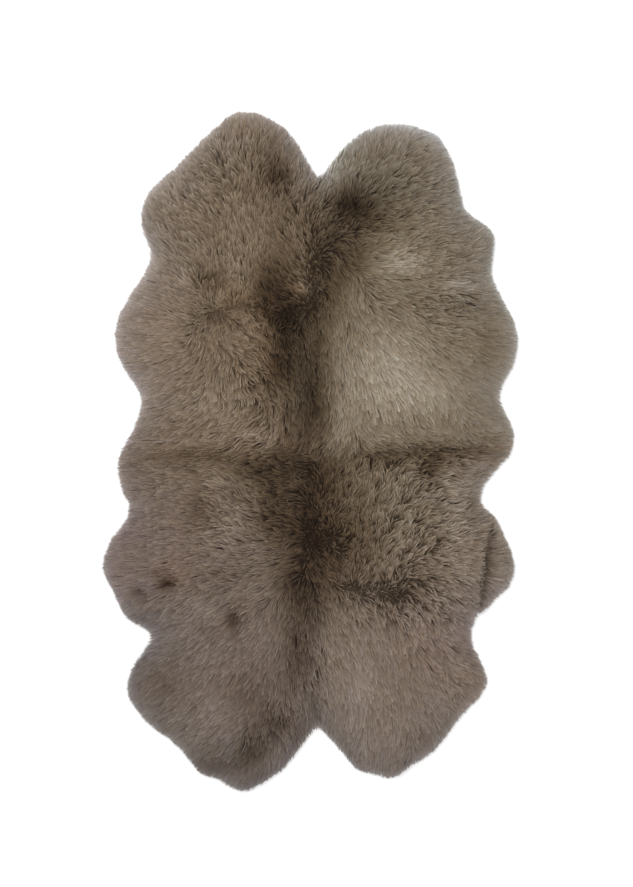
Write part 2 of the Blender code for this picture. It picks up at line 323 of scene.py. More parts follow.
LOWER_RIGHT_LAY = (
    Stroke("crossing", 50, -70, 75),
    Stroke("whorl top", 60, -140, 62),
    Stroke("whorl under", 34, -300, -58),
    Stroke("saddle top", 160, -70, 78),
    Stroke("saddle", 170, -190, 92),
    Stroke("saddle right", 250, -130, 62),
    Stroke("saddle low", 200, -320, 86),
    Stroke("saddle low left", 120, -330, 84),
    Stroke("saddle corner", 280, -230, 50),
    Stroke("saddle right low", 236, -226, 76),
    Stroke("seam lobe", 450, -40, 4),
    Stroke("seam", 340, -60, 4),
    Stroke("upper bay", 410, -130, 6),
    Stroke("flank root", 340, -180, 14),
    Stroke("flank", 400, -270, -1),
    Stroke("flap top", 495, -215, 24),
    Stroke("flap", 500, -300, -8),
    Stroke("flap fall", 480, -380, -38),
    Stroke("flank fall", 390, -370, -24),
    Stroke("flank fall root", 310, -350, -22),
    Stroke("belly", 400, -440, -36),
    Stroke("belly root", 310, -450, -55),
    Stroke("ridge", 220, -440, -82),
    Stroke("ridge left", 120, -430, -72),
    Stroke("seam side upper", 50, -400, -74),
    Stroke("back", 120, -540, -70),
    Stroke("loin", 230, -550, -76),
    Stroke("haunch", 340, -540, -56),
    Stroke("lower bay", 410, -520, -22),
    Stroke("hind leg", 430, -590, -24),
    Stroke("thigh", 350, -620, -56),
    Stroke("seam side", 50, -640, -80),
    Stroke("rump", 200, -660, -74),
    Stroke("haunch foot", 360, -710, -60),
    Stroke("rump inside", 80, -760, -106),
    Stroke("tail", 210, -820, -90),
    Stroke("tail right", 290, -790, -66),
    Stroke("tail middle", 238, -800, -122),
    Stroke("ridge top left", 116, -403, -71),
    Stroke("ridge right", 275, -425, -77),
    Stroke("flank fall inner", 355, -365, -13),
    Stroke("flank fall low", 355, -405, -27),
)

WHORLS = (
    Whorl("left shoulder", -235, 350, 85, 75),
    Whorl("left back", -30, 360, 80, 70),
    Whorl("left loin", -110, 200, 70, 35),
    Whorl("right neck", 80, 600, 70, 55),
    Whorl("right back", 70, 500, 60, 40),
    Whorl("saddle", 20, -210, 85, 75),
    Whorl("crossing", 0, -40, 90, 50),
    Whorl("right saddle", 180, -190, 90, 40),
    Whorl("right ridge", 220, -380, 60, 55),
    Whorl("left rib", -200, -120, 60, 30),
    Whorl("right seam", 240, -20, 70, 35),
    Whorl("left seam", -160, 20, 60, 35),
)

# Patches of the wool's own darker and paler tone, mixed with painted light and shade: painted shade in its
# hollows, along the seams and their crossing, at the nicks and creases and by the flap's fold; painted light on
# the crown rim and some other light patches.
TONE_LIGHT_AND_SHADE_ZONES = (
    Zone("back, upper", -62, 350, 62, 150, -0.5),
    Zone("back, top", -105, 440, 40, 60, -0.2),
    Zone("back, middle", 5, 130, 62, 130, -0.42),
    Zone("back, right", 45, 440, 48, 110, -0.34),
    Zone("back, left", -90, 230, 42, 60, -0.2),
    Zone("crossing", -22, -64, 120, 60, -0.31),
    Zone("crossing left", -150, -50, 60, 36, -0.22),
    Zone("saddle whorl", 10, -210, 82, 140, -0.46),
    Zone("lower back", -10, -380, 62, 70, -0.28),
    Zone("lower back end", -35, -520, 42, 95, -0.27),
    Zone("back tuft", -15, 428, 26, 20, 0.28),
    Zone("right neck hollow", 98, 635, 55, 48, -0.44),
    Zone("right neck", 160, 650, 100, 80, -0.2),
    Zone("right shoulder edge", 60, 560, 60, 60, -0.2),
    Zone("right shoulder patch", 232, 500, 48, 28, 0.3),
    Zone("right bay patch", 380, 440, 40, 18, 0.2),
    Zone("right rib patch", 225, 245, 80, 75, 0.2),
    Zone("right belly patch", 285, 155, 90, 62, 0.22),
    Zone("right loin", 150, 180, 80, 110, 0.16),
    Zone("right crease start", 285, 402, 32, 26, -0.06),
    Zone("right crease end", 430, 378, 62, 20, -0.04),
    Zone("right flank hollow", 452, 290, 26, 60, -0.1),
    Zone("right seam", 320, 0, 170, 24, -0.26),
    Zone("right seam end", 420, 6, 60, 20, -0.12),
    Zone("right seam hollow", 310, -45, 36, 46, -0.28),
    Zone("right seam root", 180, -14, 60, 16, -0.16),
    Zone("left neck hollow", -88, 715, 42, 46, -0.4),
    Zone("left neck edge", -105, 790, 36, 44, -0.12),
    Zone("left neck root", -60, 620, 60, 60, -0.16),
    Zone("left shoulder hollow", -262, 446, 36, 28, -0.22),
    Zone("left whorl", -250, 352, 40, 40, -0.08),
    Zone("left flank", -420, 290, 90, 150, 0.1),
    Zone("left belly", -240, 130, 90, 60, 0.1),
    Zone("left seam", -290, -10, 160, 26, -0.16),
    Zone("left seam spot", -310, -46, 24, 18, -0.12),
    Zone("left saddle patch", -240, -80, 28, 20, 0.14),
    Zone("left rib hollow", -285, -165, 30, 44, -0.16),
    Zone("left rib patch", -205, -215, 28, 58, 0.08),
    Zone("left flank spot", -368, -345, 24, 14, -0.56),
    Zone("left flank crease", -440, -372, 24, 22, -0.12),
    Zone("left rib line", -235, -320, 60, 16, -0.12),
    Zone("left belly patch", -280, -408, 40, 18, 0.12),
    Zone("left haunch spot", -192, -445, 24, 40, -0.16),
    Zone("left hind leg", -390, -600, 52, 48, -0.15),
    Zone("left rump", -150, -620, 66, 60, -0.14),
    Zone("left rump patch", -255, -680, 40, 56, 0.08),
    Zone("left rump hollow", -95, -710, 56, 46, -0.26),
    Zone("left tail hollow", -152, -782, 40, 38, -0.3),
    Zone("left tail", -240, -820, 80, 36, -0.18),
    Zone("right saddle", 130, -230, 60, 130, -0.22),
    Zone("right saddle low", 236, -374, 48, 28, -0.2),
    Zone("right saddle corner", 120, -350, 40, 30, -0.04),
    Zone("right flank patch", 385, -200, 40, 130, 0.12),
    Zone("right rump patch", 130, -600, 38, 110, 0.1),
    # Painted shadow along the flap's fold.
    Zone("right flap fold", 467, -262, 8, 56, -0.16),
    Zone("right flap fold, lower", 456, -368, 8, 40, -0.12),
    Zone("right flank nick", 336, -234, 9, 9, -0.34),
    Zone("right flank nick, lower", 322, -340, 11, 10, -0.24),
    Zone("right bay nick", 418, -142, 11, 11, -0.24),
    Zone("left flank nick", -402, -318, 22, 12, -0.2),
    Zone("left flank nick, lower", -446, -362, 12, 12, -0.2),
    Zone("left flank light", -420, -330, 18, 14, 0.14),
    Zone("left haunch nick", -200, -436, 14, 14, -0.3),
    Zone("left rib shade", -285, -130, 18, 40, -0.12),
    Zone("right rump spot", 290, -742, 34, 26, -0.1),
    Zone("right thigh spot", 305, -525, 44, 18, -0.08),
    Zone("saddle, left", -100, -150, 38, 85, -0.24),
    Zone("crossing, upper left", -60, 25, 28, 60, -0.16),
    Zone("right shoulder hollow", 122, 518, 40, 40, -0.18),
    Zone("left back shade", -132, 412, 34, 34, -0.14),
    Zone("right seam shade", 165, -16, 44, 16, -0.14),
    Zone("right saddle edge", 262, -318, 56, 32, -0.08),
    Zone("saddle, right", 66, -302, 28, 56, -0.12),
    Zone("left neck shade", -165, 690, 52, 36, -0.08),
    Zone("right crown rim", 292, 850, 100, 34, 0.26),
    Zone("right belly edge", 80, 90, 26, 70, 0.14),
    Zone("right shoulder light", 215, 474, 40, 22, 0.1),
    Zone("crossing light", -28, -74, 34, 24, 0.12),
    Zone("right flap light", 498, -350, 30, 50, 0.1),
    Zone("right neck root", 169, 596, 42, 32, -0.12),
    Zone("right back shade", 103, 474, 46, 46, -0.12),
    Zone("back, seam side", 22, 290, 24, 76, -0.18),
    Zone("left loin shade", -114, 160, 40, 56, -0.1),
    Zone("left shoulder light", -322, 455, 22, 40, 0.14),
    Zone("right seam, under", 215, -42, 100, 20, -0.14),
    Zone("right ridge shade", 198, -424, 24, 38, -0.1),
    Zone("right upper bay shade", 416, -160, 26, 30, -0.12),
    Zone("saddle, lower left", -54, -330, 30, 50, -0.12),
    Zone("saddle, middle", -50, -190, 42, 46, -0.1),
    Zone("right crown corner", 325, 826, 30, 28, 0.18),
    Zone("right neck edge", 56, 730, 28, 34, 0.14),
    Zone("left neck light", -370, 672, 56, 46, 0.08),
    Zone("left seam light", -130, 42, 66, 18, 0.12),
    Zone("right seam light", 350, -76, 22, 24, 0.12),
)

HUES = (
    Hue("back", -22, 210, 44, 190, -0.045, 0.035),
    Hue("right neck", 190, 690, 100, 70, -0.03, 0.015),
    Hue("right saddle", 220, -120, 150, 130, -0.022, 0.004),
    Hue("right thigh", 350, -500, 120, 120, 0.025, 0.0),
    Hue("left flank", -400, 290, 120, 200, 0.01, 0.018),
    Hue("left lower flank", -400, -230, 150, 170, 0.012, 0.048),
    Hue("left haunch", -160, -590, 170, 220, 0.008, 0.036),
    Hue("left rib", -170, -230, 110, 130, 0.003, 0.028),
    Hue("lower back", -10, -480, 50, 120, -0.004, 0.03),
    Hue("right rim", 500, 150, 55, 600, 0.006, -0.026),
    Hue("right foot rim", 420, -620, 60, 130, 0.02, -0.036),
    Hue("right thigh, inner", 200, -560, 90, 200, 0.006, 0.018),
    Hue("left rim", -500, -230, 50, 250, 0.022, 0.0),
    Hue("left loin", -150, 300, 60, 110, 0.02, -0.02),
    Hue("saddle", 0, -240, 60, 120, 0.02, 0.0),
    Hue("above the seam", 0, 40, 420, 50, 0.011, 0.013),
    Hue("right belly, inner", 61, 170, 40, 80, -0.003, 0.018),
    Hue("left foot", -200, -780, 60, 60, -0.028, 0.024),
    Hue("bottom notch", 20, -740, 60, 40, 0.01, -0.03),
    Hue("left foot rim", -350, -770, 70, 60, -0.004, -0.026),
    Hue("back tuft", -42, 424, 26, 22, 0.035, -0.03),
    Hue("left shoulder tip", -202, 405, 40, 30, 0.025, -0.04),
    Hue("right crown rim", 75, 775, 50, 60, 0.0, -0.035),
    Hue("left crown", -180, 850, 50, 40, 0.012, -0.025),
    Hue("left flank spot", -350, -320, 50, 36, 0.035, -0.01),
    Hue("left lobe", -425, -357, 24, 20, 0.0, 0.06),
)

LIVELY_ZONES = (
    Zone("left back", -130, 160, 98, 160, 0.52),
    Zone("left shoulder", -215, 475, 60, 40, 0.5),
    Zone("left flank", -490, 280, 90, 200, -0.18),
    Zone("left neck", -280, 720, 170, 140, 0.45),
    Zone("left rib", -200, -250, 80, 180, 0.3),
    Zone("notch", 20, 712, 80, 60, 0.6),
    Zone("right crease", 345, 388, 90, 38, 0.6),
    Zone("right neck", 170, 640, 170, 140, 0.25),
    Zone("right neck, outer", 370, 660, 70, 120, 0.12),
    Zone("right flank", 450, 170, 80, 150, -0.35),
    Zone("right belly", 200, 180, 90, 110, -0.1),
    Zone("right saddle", 270, -240, 150, 180, 0.62),
    Zone("right saddle, upper", 280, -80, 130, 50, 0.4),
    Zone("right ridge", 240, -400, 190, 60, 0.6),
    Zone("right seam", 330, -10, 140, 40, 0.35),
    Zone("back", -20, 560, 60, 180, 0.15),
    Zone("lower back", 0, -520, 50, 190, 0.5),
    Zone("left shoulder, lower", -230, 385, 80, 40, -0.65),
    Zone("left lower flank", -490, -280, 60, 80, -0.3),
    Zone("saddle, right", 70, -170, 70, 120, 0.35),
    Zone("right thigh, outer", 370, -600, 50, 160, 0.25),
    Zone("left tail", -80, -720, 70, 60, 0.6),
    Zone("left neck, inner", -111, 510, 50, 60, 0.15),
    Zone("left rib, inner", -108, -150, 44, 130, 0.55),
    Zone("right belly, outer", 340, 142, 60, 60, -0.4),
    Zone("left flank, inner", -388, 330, 40, 90, -0.4),
    Zone("lower back, upper", 15, -429, 24, 30, -0.3),
)


class Quarter(Enum):
    """One of the four pelts, by its place: the side of each seam it lies on, and its wool's lay."""

    UPPER_LEFT = ("upper_left", -1, 1, UPPER_LEFT_LAY)
    UPPER_RIGHT = ("upper_right", 1, 1, UPPER_RIGHT_LAY)
    LOWER_LEFT = ("lower_left", -1, -1, LOWER_LEFT_LAY)
    LOWER_RIGHT = ("lower_right", 1, -1, LOWER_RIGHT_LAY)

    def __init__(self, place: str, side: int, end: int, lay: tuple[Stroke, ...]) -> None:
        """Keeps what tells this pelt from the others.

        Args:
            place: its place in words, as the CAD names it.
            side: 1 to the right of the centre seam and -1 to its left.
            end: 1 above the cross seam and -1 below it.
            lay: the ways its wool lies.
        """
        self.place = place
        self.side = side
        self.end = end
        self.lay = lay

    @property
    def node(self) -> str:
        """The CAD node that this pelt stands for."""
        return f"pelt_{self.place}"


@dataclass(frozen=True)
class SoftNoise:
    """Smooth random values over the plan, from -1 to 1, that change over a set distance."""

    reach: float
    seed: int
    cells: int = 64

    def at(self, plan: np.ndarray) -> np.ndarray:
        """Reads the values at plan points.

        Args:
            plan: the points, one row of x and y each, in metres.

        Returns:
            One value for each point.
        """
        lattice = np.random.default_rng(self.seed).uniform(-1, 1, (self.cells, self.cells))
        place = plan / self.reach
        base = np.floor(place).astype(int)
        share = place - base
        across, up = (share * share * (3 - 2 * share)).T
        i, j = (base % self.cells).T
        after_i, after_j = (i + 1) % self.cells, (j + 1) % self.cells
        low = lattice[i, j] * (1 - across) + lattice[after_i, j] * across
        high = lattice[i, after_j] * (1 - across) + lattice[after_i, after_j] * across
        return low * (1 - up) + high * up


@dataclass(frozen=True)
class Chart:
    """Values on an even grid over the plan, read smoothly between the grid's points."""

    low: np.ndarray
    cell: float
    values: np.ndarray

    def at(self, plan: np.ndarray) -> np.ndarray:
        """Reads the values at plan points.

        Args:
            plan: the points, one row of x and y each, in metres.

        Returns:
            One value for each point.
        """
        most = np.array(self.values.shape) - 1.001
        place = np.clip((plan - self.low) / self.cell, 0, most)
        base = place.astype(int)
        across, up = (place - base).T
        i, j = base.T
        low = self.values[i, j] * (1 - across) + self.values[i + 1, j] * across
        high = self.values[i, j + 1] * (1 - across) + self.values[i + 1, j + 1] * across
        return low * (1 - up) + high * up


def seam_offset(table: tuple[SeamPoint, ...], along: np.ndarray, upright: bool) -> np.ndarray:
    """How far a seam lies from its axis: its x at heights y, or its y at widths x.

    Args:
        table: the seam's points, in order.
        along: the coordinate along the seam, in metres.
        upright: whether the seam runs along Y.

    Returns:
        The other coordinate of the seam, in metres.
    """
    xs = np.array([point.x for point in table]) * MM
    ys = np.array([point.y for point in table]) * MM
    return np.interp(along, ys, xs) if upright else np.interp(along, xs, ys)


@dataclass
class Lay:
    """Where the rug lies: its rim, seams and wool height, read from the CAD pelts."""

    nodes: dict[str, bpy.types.Object]
    cell: float = 4 * MM
    margin: float = 40 * MM
    rim_height: float = 5 * MM
    rim: np.ndarray = field(init=False)
    edge: Chart = field(init=False)
    height: Chart = field(init=False)

    def __post_init__(self) -> None:
        """Reads the rim, and charts the distance from it and the wool's height."""
        self.rim = self._closed_rim()
        low = self.rim.min(axis=0) - self.margin
        count = np.ceil((self.rim.max(axis=0) + self.margin - low) / self.cell).astype(int) + 1
        xs, ys = (low[axis] + self.cell * np.arange(count[axis]) for axis in (0, 1))
        plan = np.stack(np.meshgrid(xs, ys, indexing="ij"), axis=-1).reshape(-1, 2)
        edge = self._signed_distance(plan).reshape(count)
        self.edge = Chart(low, self.cell, self.softened(edge))
        heights = self._cad_heights(plan).reshape(count)
        share = np.clip(edge / CAD_RIM_INSET, 0, 1)
        falling = self.rim_height + (heights - self.rim_height) * np.sqrt(1 - (1 - share) ** 2)
        self.height = Chart(low, self.cell, self.softened(falling))

    def _closed_rim(self) -> np.ndarray:
        """Finds the closed line through the tips of the CAD's locks.

        Returns:
            Its corners, one row of x and y each.
        """
        top = Vector((CENTRE_SEAM[-1].x, CENTRE_SEAM[-1].y)) * MM
        bottom = Vector((CENTRE_SEAM[0].x, CENTRE_SEAM[0].y)) * MM
        return np.concatenate(
            [
                self._tips(Quarter.UPPER_LEFT, top)[::-1],
                self._tips(Quarter.UPPER_RIGHT, top),
                self._tips(Quarter.LOWER_RIGHT, bottom)[::-1],
                self._tips(Quarter.LOWER_LEFT, bottom),
            ]
        )

    def _tips(self, quarter: Quarter, notch: Vector) -> np.ndarray:
        """Finds one pelt's lock tips in order, from the notch to the cross seam's end.

        Args:
            quarter: the pelt.
            notch: the end of the centre seam that the pelt touches.

        Returns:
            The tips, one row of x and y each.
        """
        mesh = self.nodes[quarter.node].data
        places = np.empty(len(mesh.vertices) * 3)
        mesh.vertices.foreach_get("co", places)
        places = places.reshape(-1, 3)
        at_tip = np.abs(places[:, 2] - LOCK_TIP_HEIGHT) < LOCK_TIP_BAND
        left = np.unique(places[at_tip, :2].round(4), axis=0)
        here = np.array(notch)
        order = []
        while len(left):
            nearest = np.argmin(np.linalg.norm(left - here, axis=1))
            here = left[nearest]
            order.append(here)
            left = np.delete(left, nearest, axis=0)
        return np.array(order)

    def _signed_distance(self, plan: np.ndarray) -> np.ndarray:
        """Measures how far inside the rim each point lies; outside it, the distance is negative.

        Args:
            plan: the points, one row of x and y each, in metres.

        Returns:
            One distance for each point, in metres.
        """
        start, end = self.rim, np.roll(self.rim, -1, axis=0)
        side = end - start
        squared = (side**2).sum(axis=1)
        distances = []
        for block in np.array_split(plan, max(1, len(plan) // 4000)):
            away = block[:, None] - start
            share = np.clip((away * side).sum(axis=-1) / squared, 0, 1)
            reach = np.linalg.norm(away - share[..., None] * side, axis=-1).min(axis=1)
            spans = (start[:, 1] > block[:, None, 1]) != (end[:, 1] > block[:, None, 1])
            rise = np.where(side[:, 1] == 0, 1, side[:, 1])
            crossing = start[:, 0] + side[:, 0] * away[..., 1] / rise
            inside = (spans & (block[:, None, 0] < crossing)).sum(axis=1) % 2 == 1
            distances.append(np.where(inside, reach, -reach))
        return np.concatenate(distances)

    def _cad_heights(self, plan: np.ndarray) -> np.ndarray:
        """Measures the CAD's wool over each point, or takes its rim's height where there is none.

        Args:
            plan: the points, one row of x and y each, in metres.

        Returns:
            One height for each point, in metres.
        """
        graph = bpy.context.evaluated_depsgraph_get()
        trees = [BVHTree.FromObject(self.nodes[quarter.node], graph) for quarter in Quarter]
        above = 1.0
        heights = np.full(len(plan), CAD_RIM_HEIGHT)
        for index, (x, y) in enumerate(plan):
            for tree in trees:
                hit = tree.ray_cast(Vector((x, y, above)), Vector((0, 0, -1)))[0]
                if hit is not None:
                    heights[index] = max(hit.z, heights[index])
        return heights

    @staticmethod
    def softened(values: np.ndarray, times: int = 2) -> np.ndarray:
        """Averages the values with their neighbours.

        Args:
            values: a grid of values.
            times: how often this is done.

        Returns:
            The grid, softened.
        """
        for _ in range(times):
            padded = np.pad(values, 1, mode="edge")
            values = sum(
                padded[i : i + values.shape[0], j : j + values.shape[1]]
                for i in range(3)
                for j in range(3)
            ) / 9
        return values

    def outward(self, plan: np.ndarray) -> np.ndarray:
        """Finds the way straight out to the nearest rim.

        Args:
            plan: the points, one row of x and y each, in metres.

        Returns:
            One unit vector for each point.
        """
        step = 2 * self.cell
        slope = np.stack(
            [
                self.edge.at(plan + shift) - self.edge.at(plan - shift)
                for shift in (np.array([step, 0]), np.array([0, step]))
            ],
            axis=1,
        )
        return -slope / np.maximum(np.linalg.norm(slope, axis=1), 1e-9)[:, None]

    def from_seams(self, plan: np.ndarray, quarter: Quarter) -> np.ndarray:
        """Measures how far into a pelt each point lies from its two seams; negative is across a seam.

        Args:
            plan: the points, one row of x and y each, in metres.
            quarter: the pelt.

        Returns:
            The distances from the centre seam and the cross seam, one row for each point.
        """
        x, y = plan.T
        into_x = (x - seam_offset(CENTRE_SEAM, y, True)) * quarter.side
        into_y = (y - seam_offset(CROSS_SEAM, x, False)) * quarter.end
        return np.stack([into_x, into_y], axis=1)

    def over_seams(self, into: np.ndarray, quarter: Quarter) -> np.ndarray:
        """Finds the plan points that lie these distances into a pelt from its two seams.

        Args:
            into: the distances from the centre seam and the cross seam, one row a point.
            quarter: the pelt.

        Returns:
            The points, one row of x and y each.
        """
        x = into[:, 0] * quarter.side
        y = into[:, 1] * quarter.end
        for _ in range(3):
            y = seam_offset(CROSS_SEAM, x, False) + into[:, 1] * quarter.end
            x = seam_offset(CENTRE_SEAM, y, True) + into[:, 0] * quarter.side
        return np.stack([x, y], axis=1)

    def share_across(self, plan: np.ndarray, own: Quarter, other: Quarter) -> np.ndarray:
        """Finds how far another pelt's lay counts on a pelt: fully on their seam, then ever less.

        Args:
            plan: the points, one row of x and y each, in metres.
            own: the pelt that the points are on.
            other: the pelt whose lay it is.

        Returns:
            One share for each point, from 0 to 1.
        """
        into = np.maximum(self.from_seams(plan, own), 0)
        share = np.ones(len(plan))
        if own.side != other.side:
            share *= np.exp(-((into[:, 0] / CENTRE_BLEND) ** 2))
        if own.end != other.end:
            share *= np.exp(-((into[:, 1] / CROSS_BLEND) ** 2))
        return share

    @staticmethod
    def zoned(plan: np.ndarray, zones: tuple[Zone, ...]) -> np.ndarray:
        """Adds up the changes that soft zones make at plan points.

        Args:
            plan: the points, one row of x and y each, in metres.
            zones: the zones.

        Returns:
            One change for each point.
        """
        total = np.zeros(len(plan))
        for zone in zones:
            off_x = (plan[:, 0] / MM - zone.x) / zone.reach_x
            off_y = (plan[:, 1] / MM - zone.y) / zone.reach_y
            total += zone.change * np.exp(-(off_x**2) - off_y**2)
        return total

    @staticmethod
    def foot(plan: np.ndarray) -> np.ndarray:
        """How far each point counts as the rug's foot, from 0 to 1."""
        return np.clip((plan[:, 1] - FOOT_START) / (FOOT_FULL - FOOT_START), 0, 1)

    def liveliness(self, plan: np.ndarray) -> np.ndarray:
        """Finds how much the locks vary: tousled in some zones, and combed flat at the foot and the rim.

        Args:
            plan: the points, one row of x and y each, in metres.

        Returns:
            One value for each point, from 0 to about 1.
        """
        lively = LIVELY + (LIVELY_AT_FOOT - LIVELY) * self.foot(plan) + self.zoned(plan, LIVELY_ZONES)
        inside = np.maximum(self.edge.at(plan), 0)
        calm = (1 - LIVELY_AT_RIM) * np.exp(-((inside / LIVELY_RIM_REACH) ** 2))
        return np.clip(lively, 0, 1.2) * (1 - calm)

    def tone(self, plan: np.ndarray) -> np.ndarray:
        """Finds how light the wool looks: its zones of own tone and painted light and shade, and the painted
        light on the rim.

        Args:
            plan: the points, one row of x and y each, in metres.

        Returns:
            One tone for each point, where 1 is the mean.
        """
        tone = np.full(len(plan), BASE_TONE)
        tone += ZONE_STRENGTH * self.zoned(plan, TONE_LIGHT_AND_SHADE_ZONES)
        # Painted light on the rim, strongest on the upper pelts and on the lower left, then a painted highlight
        # on the outermost tips.
        upper = np.clip((plan[:, 1] / MM + 250) / 500, 0, 1)
        leftward = np.clip(-plan[:, 0] / MM / 500, 0, 1)
        painted_rim_light = RIM_PAINTED_LIGHT_LOWER + (RIM_PAINTED_LIGHT_UPPER - RIM_PAINTED_LIGHT_LOWER) * upper
        painted_rim_light = painted_rim_light + RIM_PAINTED_LIGHT_LEFT * leftward * (1 - upper)
        inside = np.maximum(self.edge.at(plan), 0)
        tone += painted_rim_light * np.exp(-((inside / RIM_PAINTED_LIGHT_REACH) ** 2))
        tone += RIM_EDGE_PAINTED_LIGHT * np.exp(-((inside / RIM_EDGE_PAINTED_LIGHT_REACH) ** 2))
        return np.clip(tone, LEAST_TONE, MOST_TONE)

    def shade(self, plan: np.ndarray, tone: np.ndarray) -> np.ndarray:
        """Turns tones into what the wool at these places makes of red, green and blue light.

        Args:
            plan: the points, one row of x and y each, in metres.
            tone: one tone for each point.

        Returns:
            The factors for red, green and blue, one row for each point.
        """
        inside = np.maximum(self.edge.at(plan), 0)
        rim = np.exp(-((inside / TINT_REACH) ** 2))[:, None]
        foot = self.foot(plan)[:, None]
        tint = np.array(RIM_TINT) * rim + np.array(HEART_TINT) * (1 - rim)
        tint = tint * (1 + (np.array(FOOT_TINT) - 1) * foot)
        for hue in HUES:
            off_x = (plan[:, 0] / MM - hue.x) / hue.reach_x
            off_y = (plan[:, 1] / MM - hue.y) / hue.reach_y
            near = np.exp(-(off_x**2) - off_y**2)[:, None]
            # Hues are judged as seen and shaders take them as light.
            tint = tint * (1 + np.array([hue.red, 0, hue.blue]) * near) ** 2.2
        return tint * np.maximum(tone, 0.1)[:, None] ** np.array(SHADE_POWERS)


def new_piece(name: str, places: np.ndarray, faces: list[np.ndarray], smooth: bool) -> bpy.types.Object:
    """Makes a mesh object from arrays.

    Args:
        name: the piece's name.
        places: one row of x, y and z for each vertex.
        faces: arrays of vertex numbers, one for each count of corners, one row a face.
        smooth: whether its faces are shaded smooth.

    Returns:
        The object, linked to the scene.
    """
    mesh = bpy.data.meshes.new(name)
    corners = np.concatenate([f.ravel() for f in faces]).astype(np.int32)
    sizes = np.concatenate([np.full(len(f), f.shape[1]) for f in faces])
    starts = np.concatenate([[0], np.cumsum(sizes)[:-1]]).astype(np.int32)
    mesh.vertices.add(len(places))
    mesh.vertices.foreach_set("co", places.astype(np.float32).ravel())
    mesh.loops.add(len(corners))
    mesh.loops.foreach_set("vertex_index", corners)
    mesh.polygons.add(len(sizes))
    mesh.polygons.foreach_set("loop_start", starts)
    mesh.polygons.foreach_set("use_smooth", np.full(len(sizes), smooth))
    mesh.update(calc_edges=True)
    piece = bpy.data.objects.new(name, mesh)
    bpy.context.scene.collection.objects.link(piece)
    return piece


def set_values(piece: bpy.types.Object, name: str, values: np.ndarray) -> None:
    """Gives each vertex a number, or three, that the piece's material reads by name.

    Args:
        piece: the piece.
        name: the name that the material reads.
        values: a number for each vertex, or a row of three.
    """
    kind, key = ("FLOAT", "value") if values.ndim == 1 else ("FLOAT_VECTOR", "vector")
    attribute = piece.data.attributes.new(name, kind, "POINT")
    attribute.data.foreach_set(key, values.astype(np.float32).ravel())


class ShaderGraph:
    """A material's node graph, built one node at a time."""

    def __init__(self, name: str) -> None:
        """Starts a material with one surface node.

        Args:
            name: the material's name.
        """
        self.material = bpy.data.materials.new(name)
        self.material.use_nodes = True
        self.tree = self.material.node_tree
        self.surface = self.tree.nodes["Principled BSDF"]

    def add(self, kind: str, links: dict | None = None, **settings) -> bpy.types.Node:
        """Adds a node with its settings, and its inputs set or linked.

        Args:
            kind: the node's type.
            links: its inputs, by name or number.
            settings: its other settings.

        Returns:
            The node.
        """
        node = self.tree.nodes.new(kind)
        for name, value in settings.items():
            setattr(node, name, value)
        self.feed(node, links or {})
        return node

    def feed(self, node: bpy.types.Node, links: dict) -> None:
        """Sets or links a node's inputs: a socket is linked, and any other value is set.

        Args:
            node: the node.
            links: its inputs, by name or number.
        """
        for key, value in links.items():
            if isinstance(value, bpy.types.NodeSocket):
                self.tree.links.new(value, node.inputs[key])
            else:
                node.inputs[key].default_value = value


@dataclass(frozen=True)
class WoolFinish:
    """Long sheep's wool: dark, dense roots, lighter sun-bleached tips, a matt surface with a soft sheen."""

    name: str
    root_colour: str
    body_colour: str
    tip_colour: str
    roughness: float = 0.8
    sheen: float = 0.06
    sheen_roughness: float = 0.5
    specular: float = 0.12
    fibre_width: float = 1.3 * MM
    fibre_contrast: float = 0.19
    bump_height: float = 0.25 * MM

    def material(self) -> bpy.types.Material:
        """Builds the wool's material, which reads how far along its lock and how light each point is, with the
        painted light and shade in its tone.

        Returns:
            The material.
        """
        graph = ShaderGraph(self.name)
        along = graph.add("ShaderNodeAttribute", attribute_name="along")
        tone = graph.add("ShaderNodeAttribute", attribute_name="tone")
        across = graph.add("ShaderNodeAttribute", attribute_name="across")
        ramp = graph.add("ShaderNodeValToRGB", {0: along.outputs["Fac"]})
        stops = ramp.color_ramp.elements
        stops[0].position, stops[0].color = 0.08, linear(self.root_colour)
        stops[1].position, stops[1].color = 1.0, linear(self.tip_colour)
        stops.new(0.48).color = linear(self.body_colour)
        # Fibres run along each lock: narrow across it, long along it.
        # Real fibres are 0.03 mm thick, too fine to show: these stand for strands of them.
        place = graph.add("ShaderNodeCombineXYZ", {0: across.outputs["Fac"], 1: along.outputs["Fac"]})
        fibres = graph.add(
            "ShaderNodeTexNoise", {"Vector": place.outputs[0], "Scale": 1.0, "Detail": 2.0}
        )
        light = graph.add(
            "ShaderNodeMapRange",
            {0: fibres.outputs[0], 1: 0.25, 2: 0.75, 3: 1 - self.fibre_contrast, 4: 1 + self.fibre_contrast},
        )
        toned = graph.add(
            "ShaderNodeVectorMath", {0: ramp.outputs[0], 1: tone.outputs["Vector"]}, operation="MULTIPLY"
        )
        colour = graph.add(
            "ShaderNodeVectorMath", {0: toned.outputs[0], "Scale": light.outputs[0]}, operation="SCALE"
        )
        bump = graph.add(
            "ShaderNodeBump", {"Height": fibres.outputs[0], "Distance": self.bump_height, "Strength": 0.6}
        )
        graph.feed(
            graph.surface,
            {
                "Base Color": colour.outputs[0],
                "Roughness": self.roughness,
                "Specular IOR Level": self.specular,
                "Sheen Weight": self.sheen,
                "Sheen Roughness": self.sheen_roughness,
                "Sheen Tint": linear(self.tip_colour),
                "Normal": bump.outputs[0],
            },
        )
        return graph.material


